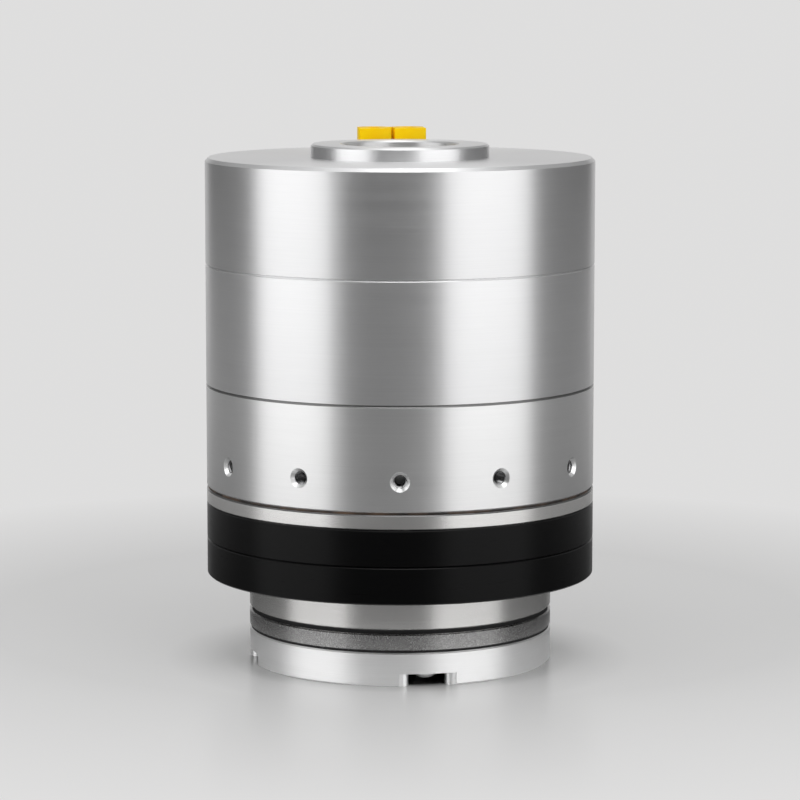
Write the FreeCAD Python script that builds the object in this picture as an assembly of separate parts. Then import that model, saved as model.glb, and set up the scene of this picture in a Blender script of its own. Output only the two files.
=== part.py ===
import FreeCAD, Part
import math
import os

Vec = FreeCAD.Vector
AXIS = Vec(0, 0, 1)

# All sizes are in millimetres. The origin is the centre of the output face, +Z runs up the
# axis to the cable end, and the photographed front is towards -Y. Radii are built up from
# the cable's bore and from the gear, so the body's 90 mm follow from the walls between.

# The stack, from the output face upwards
flange_h = 7.6
flange_gasket_t = 0.5
spline_rim_h = 3.8
seal_groove_h = 0.9
inner_ring_show = 7.6       # bright ring between the seal and the black rings
outer_half_h = 8.4          # each half of the split outer ring
flex_flange_t = 3.4
gear_gasket_t = 0.5
gear_housing_h = 23.65
cover_h = 24.55
hub_h = 3.0

# Clearances
fit_gap = 0.02              # located fit between pieces of one body, on the radius
run_gap = 0.3               # between faces that turn past each other
roll_gap = 0.05             # between a ball or roller and its race
drill_gap = 0.1             # round a screw's shank in its clearance hole
head_gap = 0.1              # round a screw's head in its counterbore
past = 1.0                  # cutting tools run this far past a face

# Edges
edge = 0.3                  # broken edges of the turned rings
rim_chamfer = 0.8           # top rim of the cover
hub_chamfer = 0.4

# Screws: diameter, then head radius, head height and key width across flats
m2 = (2.0, 1.9, 2.0, 1.5)
m25 = (2.5, 2.2, 2.2, 2.0)
m3 = (3.0, 2.75, 3.0, 2.5)
head_bevel = 0.2
sunk_key_share = 0.8        # of a countersunk head's key and cone
screw_room = 0.5            # between a screw's tip and the end of its tapped hole
ring_screw_room = 0.4
hub_screw_room = 0.3
spline_screw_room = 1.0

# Cable tube, and what is stepped out from it
cable_r = 9.0               # free bore of the cable tube
tube_wall = 1.0
tube_flange_inset = 0.2
tube_end_inset = 1.5        # below the hub's top
tube_screw_count = 4
tube_screw_l = 5.0
tube_screw_cone_h = 1.05
tube_screw_out = 1.7        # outside the bearing's seat
tube_flange_out = 2.2       # outside the circle of its screws
customer_out = 2.6          # output pattern, outside the tube's flange

# Shaft bearings, front and rear alike: 25 x 37 x 7
shaft_wall_gap = 0.6        # between the cable tube and the shaft's bore
shaft_wall = 1.9
bearing_h = 6.0             # from the bore to the outside
bearing_w = 7.0
bearing_lip = 1.85          # radial thickness of each ring
bearing_ball_d = 3.5
bearing_ball_count = 12
bearing_boss_w = 3.0        # wall round each bearing's seat
front_bearing_z = 3.0
bearing_cage_t = 0.8
bearing_cage_w = 2.4

# Strain-wave gear: the flexible spline is fixed, the circular spline is the output
gear_module = 0.5
flex_teeth = 100
circular_teeth = 102
tooth_z = 10.5              # lower end of the circular spline's teeth
tooth_w = 8.5
tooth_depth_share = 1.6     # of the module
tooth_backlash_r = 0.1      # between each tip and the facing root
circular_tip_share = 0.34   # tip and root widths as shares of the tooth pitch
circular_root_share = 0.60
flex_tip_share = 0.32
flex_root_share = 0.58
tooth_relief = 1.5          # bore below the teeth, outside their pitch circle
spigot_wall = 1.0
spigot_end_gap = 0.2
flex_wall = 0.7             # under the teeth
flex_tube_wall = 0.6
flex_diaphragm_t = 0.6
flex_diaphragm_w = 6.0
flex_diaphragm_z = 0.5      # above the flange's lower face
flex_end_gap = 0.1          # the toothed belt ends this far inside the circular teeth

# Wave generator
plug_step = 0.4
plug_boss_wall = 1.7
wave_w = 8.0
race_w = 7.0
flex_bearing_t = 6.98       # radial thickness of both races and the balls
flex_ball_d = 4.4
flex_ball_count = 23
race_shoulder = 0.65        # the races reach this far past the ball's nearest point

# Output flange
notch_count = 4
notch_angle = 10.5 - 90.0   # the notch beside the front
notch_h = 2.8
notch_w = 8.4
notch_lip_r = 1.5
notch_face_w = 13.1         # sunk flat in front of each notch
notch_face_depth = 0.9
notch_head_r = 3.1
notch_head_h = 1.65
notch_key = 2.0
notch_screw_l = 14.0
spline_screw_out = 3.0      # outside the spigot
spline_screw_to_side = 4.2
spline_screws_per_notch = 3
spline_screw_l = 16.0
spline_head_sink = 0.4      # heads lie this far inside the output face
customer_count = 8
customer_hole_r = 1.65      # drilled for M4
customer_depth = 6.2
flange_boss_h = 2.0
flange_floor_z = 1.6        # floor that the cable tube's flange is screwed to
flange_floor_t = 1.0

# Crossed-roller bearing
roller_d = 3.6
roller_l = 3.5
roller_count = 36
roller_tilt = 45.0
race_gap = 0.3              # the races' bores stand this far from the rollers' circle
lip_step = 0.4              # of the inner ring, over the lower half's lip
lip_h = 0.6
lip_gap = 0.2
inner_bore_step = 0.8
seal_groove_depth = 1.2
ring_screw_count = 12
ring_screw_out = 4.8        # outside the outer race
ring_screw_to_side = 3.7
ring_screw_l = 25.0
ring_screw_angle = -75.0    # half a pitch from the side holes
ring_screw_sink = 0.2

# Gear-side housing and shaft seal
gear_web_t = 4.4
gear_wall = 8.0
side_hole_count = 12
side_hole_above = 6.9       # above the housing's lower edge
side_hole_r = 1.5
side_hole_sink_r = 2.25
side_hole_depth = 6.5
seal_h = 4.0                # from the shaft to the outside
seal_w = 3.5
seal_lip = 0.5
seal_lip_h = 1.5
seal_touch = 0.1            # running clearance of the seal on the shaft
seal_edge_z = (0.6, 1.2, 1.6)   # the lip's two edges and its root, above the seal's face
seal_bevel = 0.8
seal_skin = 0.9
seal_case = 1.0

# Motor shaft
shaft_step = 1.0
shaft_past_disc = 0.6

# Brake on the motor shaft
brake_room = 4.0            # round the brake, in its housing
brake_bore_gap = 0.7        # round the hub's corners
brake_pole_w = 4.5
brake_body_h = 9.5
brake_slot_floor = 2.0
brake_air_gap = 0.3
armature_t = 2.0
brake_disc_t = 2.3
brake_disc_gap = 0.5        # between the disc and the sleeves
brake_rest_gap = 0.05
brake_plate_t = 2.5
brake_hub_wall = 3.3        # at the hexagon's corners
brake_hub_h = 6.0
brake_hub_above = 0.5
brake_screw_count = 3
brake_screw_angle = 90.0
brake_screw_inset = 2.0
brake_screw_l = 18.5
brake_sleeve_r = 1.9
brake_spring_count = 6
brake_spring_angle = 30.0
brake_spring_r = 1.3
brake_spring_wire = 0.4
brake_spring_depth = 5.0

# Motor
motor_wall = 7.0
stator_in_r = 24.6
stator_h = 18.0
stator_above = 4.75         # above the motor housing's lower edge
stator_ledge = 1.5
slot_count = 18
slot_open_w = 1.8
slot_tip_h = 1.4
tooth_half_w = 1.8
stator_yoke = 3.6
coil_half_w = 4.4
coil_overhang = 3.7
coil_room = 1.25            # between the coils' ends and the motor housing's top
coil_round = 2.4
coil_gap = 0.2
coil_end_gap = 0.6          # from the tooth's tip and from the yoke
air_gap = 0.5
magnet_t = 1.5
magnet_poles = 20
magnet_fill = 0.9
yoke_t = 2.1
rotor_sleeve_wall = 2.5
rotor_web_t = 4.0
rotor_hole_r = 1.9
rotor_hole_count = 6
lead_inset = 1.0
lead_r = 0.9
lead_count = 3

# Motor housing
housing_spigot_h = 2.0
housing_spigot_inset = 3.5
spigot_floor_gap = 0.05
housing_screw_count = 6
housing_screw_inset = 3.5
housing_screw_l = 32.0
housing_screw_sink = 0.2

# Rear bearing plate, cover and hub
cover_wall = 3.0
cover_top_t = 3.0
plate_t = 4.05
plate_lip = 1.05
plate_lip_w = 2.3
plate_spigot_h = 1.5
plate_spigot_w = 2.5
plate_screw_count = 6
plate_screw_out = 1.5       # outside the stator's bore
plate_screw_l = 8.0
hub_wall = 2.6
hub_ledge = 4.6
hub_screw_count = 4
hub_screw_l = 5.0
bush_t = 3.4
bush_h = 3.0
bush_above = 0.5

# Position sensing and driver electronics
clip_t = 0.8
clip_h = 1.7
clip_depth = 0.5
clip_opening = 4.0
motor_disc_r = 24.0
disc_t = 1.1
encoder_board_gap = 0.5     # inside the capacitors
encoder_post_inset = 2.5
encoder_post_h = 7.1
encoder_post_r = 2.0
encoder_head_h = 0.6
encoder_head_w = 5.0
encoder_head_pitch_r = 20.0
output_head_angle = 90.0
output_disc_r = 23.0
output_disc_above = 1.0
board_t = 1.2
board_bore_gap = 1.0        # outside the shaft
driver_board_gap = 2.0      # inside the cover
driver_board_t = 1.6
driver_post_h = 13.0
driver_post_inset = 5.5
driver_post_r = 2.4
post_count = 4
post_angle = 45.0
chip_h = 1.4
chip_w = 5.0
chip_inset = 10.0
chip_count = 6
chip_angle = -90.0
chip_step = 25.0
capacitor_r = 4.0
capacitor_h = 10.0
capacitor_inset = 4.5
capacitor_count = 3
capacitor_angle = 90.0

# Power connectors, standing behind the hub
connector_w = 7.42
connector_d = 10.0
connector_gap = 0.9
connector_chamfer = 1.6
connector_top = 5.4         # above the cover
connector_x = -1.65
connector_behind = 1.7      # front face of the pair, behind the hub
connector_turn = 5.2
connector_window_gap = 0.3
socket_r = 1.45
socket_pitch = 4.6
socket_depth = 7.5
pin_r = 1.1
pin_short = 0.8             # below the connector's top

# Radii built up from the cable's bore
tube_r = cable_r + tube_wall
shaft_bore_r = tube_r + shaft_wall_gap
bearing_bore_r = shaft_bore_r + shaft_wall
bearing_out_r = bearing_bore_r + bearing_h
bearing_pitch_r = (bearing_bore_r + bearing_out_r) / 2
bearing_boss_r = bearing_out_r + bearing_boss_w
tube_screw_r = bearing_out_r + tube_screw_out
tube_flange_r = tube_screw_r + tube_flange_out
customer_r = tube_flange_r + customer_out
shaft_mid_r = bearing_bore_r + shaft_step
rotor_sleeve_r = bearing_bore_r + rotor_sleeve_wall
plug_boss_r = bearing_bore_r + plug_boss_wall
clip_r = bearing_bore_r + clip_h
board_bore_r = bearing_bore_r + board_bore_gap
brake_hub_corner_r = bearing_bore_r + brake_hub_wall
brake_in_r = brake_hub_corner_r + brake_bore_gap
seal_r = shaft_mid_r + seal_h
seal_lip_r = shaft_mid_r + seal_lip_h
plate_lip_r = bearing_out_r - plate_lip_w
hub_bore_r = tube_r + bush_t
hub_spigot_r = hub_bore_r + hub_wall
hub_r = hub_spigot_r + hub_ledge
hub_screw_pitch_r = (hub_spigot_r + hub_r) / 2

# Radii built up from the gear
wave_deflection = gear_module
flex_pitch_r = gear_module * flex_teeth / 2
circular_pitch_r = gear_module * circular_teeth / 2
tooth_depth = tooth_depth_share * gear_module
circular_root_r = circular_pitch_r + gear_module
circular_tip_r = circular_root_r - tooth_depth
flex_tip_r = circular_root_r - tooth_backlash_r - wave_deflection
flex_root_r = flex_tip_r - tooth_depth
flex_bore_r = flex_root_r - flex_wall
flex_boss_r = flex_pitch_r + flex_diaphragm_w
race_out_r = flex_bore_r - fit_gap
plug_r = race_out_r - flex_bearing_t
flex_ball_pitch_r = (plug_r + race_out_r) / 2 + race_shoulder / 4
tooth_relief_r = circular_pitch_r + tooth_relief
spigot_r = tooth_relief_r + spigot_wall
spline_screw_pitch_r = spigot_r + spline_screw_out
output_r = spline_screw_pitch_r + spline_screw_to_side
lip_r = output_r + run_gap
inner_race_r = lip_r + lip_step
roller_pitch_r = inner_race_r + race_gap
outer_race_r = roller_pitch_r + race_gap
inner_ring_bore_r = spigot_r - inner_bore_step
foot_r = output_r - seal_groove_depth
ring_screw_pitch_r = outer_race_r + ring_screw_out
body_r = ring_screw_pitch_r + ring_screw_to_side

# Radii worked inwards from the body
gear_cavity_r = body_r - gear_wall
brake_out_r = gear_cavity_r - brake_room
brake_slot_in = brake_in_r + brake_pole_w
brake_slot_out = brake_out_r - brake_pole_w
brake_screw_pitch_r = brake_out_r - brake_screw_inset
brake_disc_r = brake_screw_pitch_r - brake_sleeve_r - brake_disc_gap
brake_spring_pitch_r = (brake_in_r + brake_slot_in) / 2
stator_r = body_r - motor_wall
housing_step_r = stator_r - stator_ledge
housing_spigot_r = body_r - housing_spigot_inset
housing_screw_pitch_r = body_r - housing_screw_inset
coil_in_r = stator_in_r + slot_tip_h + coil_end_gap
coil_out_r = stator_r - stator_yoke - coil_end_gap
lead_pitch_r = coil_out_r - lead_inset
magnet_out_r = stator_in_r - air_gap
yoke_r = magnet_out_r - magnet_t
cover_in_r = body_r - cover_wall
plate_screw_pitch_r = stator_r + plate_screw_out
driver_board_r = cover_in_r - driver_board_gap
driver_post_pitch_r = cover_in_r - driver_post_inset
chip_pitch_r = driver_board_r - chip_inset
capacitor_pitch_r = driver_board_r - capacitor_inset
encoder_board_r = capacitor_pitch_r - capacitor_r - encoder_board_gap
encoder_post_pitch_r = encoder_board_r - encoder_post_inset
connector_y = hub_r + connector_behind
notch_step = 360.0 / notch_count

# Levels worked out from the stack
motor_housing_h = stator_above + stator_h + coil_overhang + coil_room
z_flange_top = flange_h
z_spline = z_flange_top + flange_gasket_t
z_foot = z_spline + spline_rim_h
z_inner = z_foot + seal_groove_h
z_outer = z_inner + inner_ring_show
z_split = z_outer + outer_half_h
z_flex = z_split + outer_half_h
z_gear_gasket = z_flex + flex_flange_t
z_gear = z_gear_gasket + gear_gasket_t
z_web = z_gear + gear_web_t
z_motor = z_gear + gear_housing_h
z_cover = z_motor + motor_housing_h
z_top = z_cover + cover_h
z_hub = z_top + hub_h

z_front_bearing_top = front_bearing_z + bearing_w
z_wave = z_front_bearing_top + plug_step
z_wave_top = z_wave + wave_w
z_wave_mid = z_wave + wave_w / 2
z_teeth_top = tooth_z + tooth_w
z_spline_screws = spline_head_sink + m3[2]
z_brake_face = z_web + brake_body_h
z_armature = z_brake_face + brake_air_gap
z_brake_disc = z_armature + armature_t + brake_rest_gap
z_brake_plate = z_brake_disc + brake_disc_t + brake_rest_gap
z_brake_plate_top = z_brake_plate + brake_plate_t
z_brake_hub = z_brake_face + brake_hub_above
z_brake_hub_top = z_brake_hub + brake_hub_h
z_stator = z_motor + stator_above
z_stator_top = z_stator + stator_h
z_plate_top = z_cover + plate_t
z_rear_bearing = z_cover + plate_lip
z_clip = z_rear_bearing + bearing_w
z_motor_disc = z_clip + clip_t
z_shaft_top = z_motor_disc + disc_t + shaft_past_disc
z_encoder_board = z_plate_top + encoder_post_h
z_output_disc = z_encoder_board + board_t + output_disc_above
z_driver_board = z_plate_top + driver_post_h
z_driver_top = z_driver_board + driver_board_t
z_cover_under = z_top - cover_top_t


def flat(*corners):
    """Face from corners, each an (x, y, z) triple."""
    ring_of = [Vec(*c) for c in corners]
    return Part.Face(Part.makePolygon(ring_of + ring_of[:1]))


def turned(*outline):
    """Solid turned about the axis from a closed outline of (radius, height) points."""
    return flat(*[(r, 0, z) for r, z in outline]).revolve(Vec(), AXIS, 360)


def disc(r, z0, z1, x=0.0, y=0.0):
    return Part.makeCylinder(r, z1 - z0, Vec(x, y, z0))


def ring(r_out, r_in, z0, z1):
    return turned((r_in, z0), (r_out, z0), (r_out, z1), (r_in, z1))


def block(x0, x1, y0, y1, z0, z1):
    return Part.makeBox(x1 - x0, y1 - y0, z1 - z0, Vec(x0, y0, z0))


def turn(shape, degrees):
    """Copy of a shape turned about the axis."""
    copy = shape.copy()
    copy.rotate(Vec(), AXIS, degrees)
    return copy


def around(shape, count, first=0.0):
    """Copies of a shape spaced evenly round the axis, the first one turned by an angle."""
    return [turn(shape, first + 360.0 * k / count) for k in range(count)]


def group(shapes):
    """Several separate solids kept as one node."""
    return Part.makeCompound([s for shape in shapes for s in shape.Solids])


def ellipse_wire(r, z):
    """Circle of radius r pushed out along X and in along Y by the wave generator."""
    curve = Part.Ellipse(Vec(0, 0, z), r + wave_deflection, r - wave_deflection)
    return Part.Wire(curve.toShape())


def ellipse_prism(r, z0, z1):
    return Part.Face(ellipse_wire(r, z0)).extrude(Vec(0, 0, z1 - z0))


def prism(points, z0, z1):
    """Upright prism over a closed plan of (x, y) points."""
    return flat(*[(x, y, z0) for x, y in points]).extrude(Vec(0, 0, z1 - z0))


def polygon(corner_r, sides):
    step = 2 * math.pi / sides
    return [(corner_r * math.cos(step * k), corner_r * math.sin(step * k)) for k in range(sides)]


def hex_key(across, z0, z1):
    return prism(polygon(across / math.sqrt(3), 6), z0, z1)


def cap_screw(size, length):
    """Socket head screw with its bearing face at z = 0, shank upwards."""
    diameter, head_r, head_h, key = size
    head = turned(
        (0, -head_h), (head_r - head_bevel, -head_h), (head_r, head_bevel - head_h), (head_r, 0),
        (diameter / 2, 0), (diameter / 2, length), (0, length),
    )
    return head.cut(hex_key(key, -head_h, -head_h / 2))


def button_screw(diameter, head_r, head_h, key, length):
    """Domed screw with its bearing face at z = 0, shank upwards."""
    dome_r = (head_r ** 2 + head_h ** 2) / (2 * head_h)
    dome = Part.makeSphere(dome_r, Vec(0, 0, dome_r - head_h))
    head = disc(head_r, -head_h, 0).common(dome)
    screw = head.fuse(disc(diameter / 2, 0, length))
    return screw.cut(hex_key(key, -head_h, -head_h / 3))


def countersunk_screw(size, cone_h, length):
    """Flat screw with its face at z = 0, shank upwards."""
    diameter, head_r, _, key = size
    head = turned((0, 0), (head_r, 0), (diameter / 2, cone_h), (diameter / 2, length), (0, length))
    return head.cut(hex_key(key * sunk_key_share, 0, cone_h * sunk_key_share))


def put(shape, pitch_r, z, degrees=0.0, down=False):
    """Copy of a screw or tool moved out to a pitch radius and up to a level."""
    copy = shape.copy()
    if down:
        copy.rotate(Vec(), Vec(1, 0, 0), 180)
    copy.translate(Vec(pitch_r, 0, z))
    return turn(copy, degrees)


def hole(r, pitch_r, z0, z1, degrees=0.0):
    return turn(disc(r, z0, z1, pitch_r), degrees)


def clearance(size):
    return size[0] / 2 + drill_gap


def thread(size):
    return size[0] / 2 + fit_gap


# Output flange and what is fastened to it

def notch_cutter():
    """Pocket in the lower rim round one domed screw, along +X."""
    half = notch_w / 2
    face_r = output_r - notch_face_depth
    lip_x = face_r - notch_lip_r
    outside = output_r + past
    slot = block(spline_screw_pitch_r, outside, -half, half, -past, notch_h)
    shallow = block(face_r, outside, -notch_face_w / 2, notch_face_w / 2, -past, notch_h)
    pieces = [disc(half, -past, notch_h, spline_screw_pitch_r), shallow]
    for side in (-1, 1):
        y = side * (half + notch_lip_r)
        corner = block(lip_x, outside, min(0, y), max(0, y), -past, notch_h)
        pieces.append(corner.cut(disc(notch_lip_r, -past, notch_h, lip_x, y)))
    return slot.fuse(pieces)


def spline_screw_angles():
    """Angles of the screws of the output stack: (in a notch, between notches)."""
    count = notch_count * spline_screws_per_notch
    angles = [notch_angle + 360.0 * k / count for k in range(count)]
    notched = angles[::spline_screws_per_notch]
    return notched, [a for a in angles if a not in notched]


def output_flange():
    recess_r = tube_flange_r + head_gap
    floor_top = flange_floor_z + flange_floor_t
    seat_r = bearing_out_r + fit_gap
    body = turned(
        (recess_r, 0), (output_r - edge, 0), (output_r, edge), (output_r, flange_h - edge),
        (output_r - edge, flange_h), (bearing_boss_r, flange_h),
        (bearing_boss_r, flange_h + flange_boss_h), (seat_r, flange_h + flange_boss_h),
        (seat_r, front_bearing_z), (bearing_pitch_r, front_bearing_z),
        (bearing_pitch_r, floor_top), (shaft_bore_r, floor_top),
        (shaft_bore_r, flange_floor_z), (recess_r, flange_floor_z),
    )
    notched, between = spline_screw_angles()
    head_r = m3[1] + head_gap
    cuts = [turn(notch_cutter(), a) for a in notched]
    cuts += [hole(clearance(m3), spline_screw_pitch_r, 0, flange_h + past, a) for a in notched + between]
    cuts += [hole(head_r, spline_screw_pitch_r, -past, z_spline_screws, a) for a in between]
    cuts += customer_holes()
    cuts += [hole(thread(m2), tube_screw_r, 0, flange_h - past, a) for a in tube_screw_angles()]
    return body.cut(cuts)


def customer_holes():
    tapped = hole(customer_hole_r, customer_r, -past, customer_depth)
    return around(tapped, customer_count, notch_angle + 360.0 / customer_count / 2)


def tube_screw_angles():
    first = notch_angle + notch_step / 2
    return [first + 360.0 * k / tube_screw_count for k in range(tube_screw_count)]


def output_stack_holes(r, z0, z1):
    notched, between = spline_screw_angles()
    return [hole(r, spline_screw_pitch_r, z0, z1, a) for a in notched + between]


def flange_gasket():
    body = ring(output_r - edge, tooth_relief_r, z_flange_top, z_spline)
    return body.cut(output_stack_holes(clearance(m3), z_flange_top - past, z_spline + past))


def spline_seal():
    return ring(output_r - 2 * edge, foot_r + fit_gap, z_foot, z_inner)


def gear_ring_points(teeth, tip_r, root_r, tip_share, root_share, place):
    """Plan of a toothed edge: for each tooth its root and tip corners, set by place."""
    pitch = 2 * math.pi / teeth
    points = []
    for k in range(teeth):
        middle = pitch * (k + 0.5) if root_r > tip_r else pitch * k
        corners = ((root_r, -root_share), (tip_r, -tip_share), (tip_r, tip_share), (root_r, root_share))
        for r, share in corners:
            points.append(place(r, middle, share * pitch / 2))
    return points


def circular_spline():
    """Rigid ring with internal teeth; the gap at angle zero takes the first flexible tooth."""

    def place(r, middle, offset):
        return r * math.cos(middle + offset), r * math.sin(middle + offset)

    teeth = gear_ring_points(circular_teeth, circular_tip_r, circular_root_r,
                             circular_tip_share, circular_root_share, place)
    body = turned(
        (tooth_relief_r, z_spline), (output_r - edge, z_spline), (output_r, z_spline + edge),
        (output_r, z_foot - edge), (output_r - edge, z_foot), (spigot_r - fit_gap, z_foot),
        (spigot_r - fit_gap, z_teeth_top), (flex_bore_r, z_teeth_top), (flex_bore_r, tooth_z),
        (tooth_relief_r, tooth_z),
    )
    body = body.cut(prism(teeth, tooth_z - past, z_teeth_top + past))
    return body.cut(output_stack_holes(clearance(m3), z_spline - past, z_foot + past))


def bearing_inner_ring():
    """Bright ring between the seal and the black rings, with the inner half of the V race."""
    reach = (roller_d / 2 + roll_gap) * math.sqrt(2)
    groove_r = roller_pitch_r - reach
    half = inner_race_r - groove_r
    step_z = z_outer + lip_h + lip_gap
    top = z_flex - run_gap
    bore_step = z_teeth_top + spigot_end_gap
    body = turned(
        (spigot_r, z_foot), (foot_r, z_foot), (foot_r, z_inner), (output_r - edge, z_inner),
        (output_r, z_inner + edge), (output_r, step_z), (inner_race_r, step_z),
        (inner_race_r, z_split - half), (groove_r, z_split), (inner_race_r, z_split + half),
        (inner_race_r, top), (inner_ring_bore_r, top), (inner_ring_bore_r, bore_step),
        (spigot_r, bore_step),
    )
    hole_end = z_spline_screws + spline_screw_l + spline_screw_room
    return body.cut(output_stack_holes(thread(m3), z_foot - past, hole_end))


def notch_screws():
    screw = button_screw(m3[0], notch_head_r, notch_head_h, notch_key, notch_screw_l)
    notched, _ = spline_screw_angles()
    return group([put(screw, spline_screw_pitch_r, notch_h, a) for a in notched])


def spline_screws():
    screw = cap_screw(m3, spline_screw_l)
    _, between = spline_screw_angles()
    return group([put(screw, spline_screw_pitch_r, z_spline_screws, a) for a in between])


def output_tube():
    z0 = tube_flange_inset
    z1 = z_hub - tube_end_inset
    body = turned(
        (cable_r, z0), (tube_flange_r, z0), (tube_flange_r, flange_floor_z), (tube_r, flange_floor_z),
        (tube_r, z1), (cable_r, z1),
    )
    cone = Part.makeCone(m2[1], m2[0] / 2, tube_screw_cone_h, Vec(tube_screw_r, 0, z0))
    tool = cone.fuse(hole(clearance(m2), tube_screw_r, z0, flange_floor_z + past))
    return body.cut([turn(tool, a) for a in tube_screw_angles()])


def output_tube_screws():
    screw = countersunk_screw(m2, tube_screw_cone_h, tube_screw_l)
    seat_z = tube_flange_inset - fit_gap
    return group([put(screw, tube_screw_r, seat_z, a) for a in tube_screw_angles()])


# Shaft bearings

def race_torus(z_mid):
    return Part.makeTorus(bearing_pitch_r, bearing_ball_d / 2 + roll_gap, Vec(0, 0, z_mid))


def bearing_outer(z0):
    in_r = bearing_out_r - bearing_lip
    return ring(bearing_out_r, in_r, z0, z0 + bearing_w).cut(race_torus(z0 + bearing_w / 2))


def bearing_inner(z0):
    bore = bearing_bore_r + fit_gap
    body = ring(bearing_bore_r + bearing_lip, bore, z0, z0 + bearing_w)
    return body.cut(race_torus(z0 + bearing_w / 2))


def bearing_balls(z0):
    """Balls and their cage, which turn together between the rings."""
    z_mid = z0 + bearing_w / 2
    at = Vec(bearing_pitch_r, 0, z_mid)
    balls = around(Part.makeSphere(bearing_ball_d / 2, at), bearing_ball_count)
    pockets = around(Part.makeSphere(bearing_ball_d / 2 + roll_gap, at), bearing_ball_count)
    half_t = bearing_cage_t / 2
    half_w = bearing_cage_w / 2
    cage = ring(bearing_pitch_r + half_t, bearing_pitch_r - half_t, z_mid - half_w, z_mid + half_w)
    return group([cage.cut(pockets)] + balls)


# Strain-wave gear

def flexspline():
    """Thin toothed tube pushed into an ellipse, with its diaphragm and clamped flange."""

    def place(r, middle, offset):
        shift = wave_deflection / (2 * flex_pitch_r) * math.sin(2 * middle)
        angle = middle - shift + offset
        out = r + wave_deflection * math.cos(2 * middle)
        return out * math.cos(angle), out * math.sin(angle)

    belt_z0 = tooth_z + flex_end_gap
    belt_z1 = z_teeth_top - flex_end_gap
    diaphragm_z = z_flex + flex_diaphragm_z
    tube_r_out = flex_bore_r + flex_tube_wall
    teeth = gear_ring_points(flex_teeth, flex_tip_r, flex_root_r,
                             flex_tip_share, flex_root_share, place)
    belt = prism(teeth, belt_z0, belt_z1).cut(ellipse_prism(flex_bore_r, belt_z0 - past, belt_z1 + past))
    round_top = [Part.Wire(Part.Circle(Vec(0, 0, diaphragm_z), AXIS, r).toShape())
                 for r in (tube_r_out, flex_bore_r)]
    outer = Part.makeLoft([ellipse_wire(tube_r_out, belt_z1), round_top[0]], True, True)
    inner = Part.makeLoft([ellipse_wire(flex_bore_r, belt_z1), round_top[1]], True, True)
    tube = outer.cut(inner)
    top = z_gear_gasket
    flange = turned(
        (flex_bore_r, diaphragm_z), (flex_boss_r, diaphragm_z), (flex_boss_r, z_flex),
        (body_r - edge, z_flex), (body_r, z_flex + edge), (body_r, top - edge), (body_r - edge, top),
        (flex_boss_r, top), (flex_boss_r, diaphragm_z + flex_diaphragm_t),
        (flex_bore_r, diaphragm_z + flex_diaphragm_t),
    )
    body = belt.fuse([tube, flange])
    return body.cut(ring_screw_holes(clearance(m3), z_flex - past, top + past))


def wave_generator_plug():
    bore = disc(bearing_bore_r + fit_gap, z_front_bearing_top - past, z_wave_top + past)
    body = ellipse_prism(plug_r, z_wave, z_wave_top)
    return body.fuse(disc(plug_boss_r, z_front_bearing_top, z_wave_mid)).cut(bore)


def race_groove():
    """Round groove that follows the ellipse of the ball centres."""
    start = Vec(flex_ball_pitch_r + wave_deflection, 0, z_wave_mid)
    profile = Part.Wire(Part.Circle(start, Vec(0, 1, 0), flex_ball_d / 2 + roll_gap).toShape())
    path = ellipse_wire(flex_ball_pitch_r, z_wave_mid)
    return path.makePipeShell([profile], True, True)


def flex_race(r_out, r_in):
    z0 = z_wave_mid - race_w / 2
    z1 = z_wave_mid + race_w / 2
    return ellipse_prism(r_out, z0, z1).cut(ellipse_prism(r_in, z0 - past, z1 + past)).cut(race_groove())


def flex_bearing_inner_race():
    out_r = flex_ball_pitch_r - flex_ball_d / 2 + race_shoulder
    return flex_race(out_r, plug_r + fit_gap)


def flex_bearing_outer_race():
    in_r = flex_ball_pitch_r + flex_ball_d / 2 - race_shoulder
    return flex_race(race_out_r, in_r)


def flex_bearing_balls():
    """Balls on the ellipse, evenly spaced along it."""
    balls = []
    for k in range(flex_ball_count):
        angle = 2 * math.pi * k / flex_ball_count
        a = flex_ball_pitch_r + wave_deflection
        b = flex_ball_pitch_r - wave_deflection
        centre = Vec(a * math.cos(angle), b * math.sin(angle), z_wave_mid)
        balls.append(Part.makeSphere(flex_ball_d / 2, centre))
    return group(balls)


# Crossed-roller bearing

def ring_screw_holes(r, z0, z1):
    return around(hole(r, ring_screw_pitch_r, z0, z1), ring_screw_count, ring_screw_angle)


def outer_groove():
    """Radius of the V race's bottom in the outer ring, and its half height at the bore."""
    bottom = roller_pitch_r + (roller_d / 2 + roll_gap) * math.sqrt(2)
    return bottom, bottom - outer_race_r


def bearing_outer_ring_lower():
    bottom, half = outer_groove()
    body = turned(
        (lip_r, z_outer), (body_r - edge, z_outer), (body_r, z_outer + edge),
        (body_r, z_split - edge), (body_r - edge, z_split), (bottom, z_split),
        (outer_race_r, z_split - half), (outer_race_r, z_outer + lip_h), (lip_r, z_outer + lip_h),
    )
    head_top = z_outer + ring_screw_sink + m3[2]
    cuts = ring_screw_holes(clearance(m3), z_outer, z_split + past)
    cuts += ring_screw_holes(m3[1] + head_gap, z_outer - past, head_top)
    return body.cut(cuts)


def bearing_outer_ring_upper():
    bottom, half = outer_groove()
    body = turned(
        (bottom, z_split), (body_r - edge, z_split), (body_r, z_split + edge),
        (body_r, z_flex - edge), (body_r - edge, z_flex), (outer_race_r, z_flex),
        (outer_race_r, z_split + half),
    )
    return body.cut(ring_screw_holes(clearance(m3), z_split - past, z_flex + past))


def outer_ring_screws():
    screw = put(cap_screw(m3, ring_screw_l), ring_screw_pitch_r, z_outer + ring_screw_sink + m3[2])
    return group(around(screw, ring_screw_count, ring_screw_angle))


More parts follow.
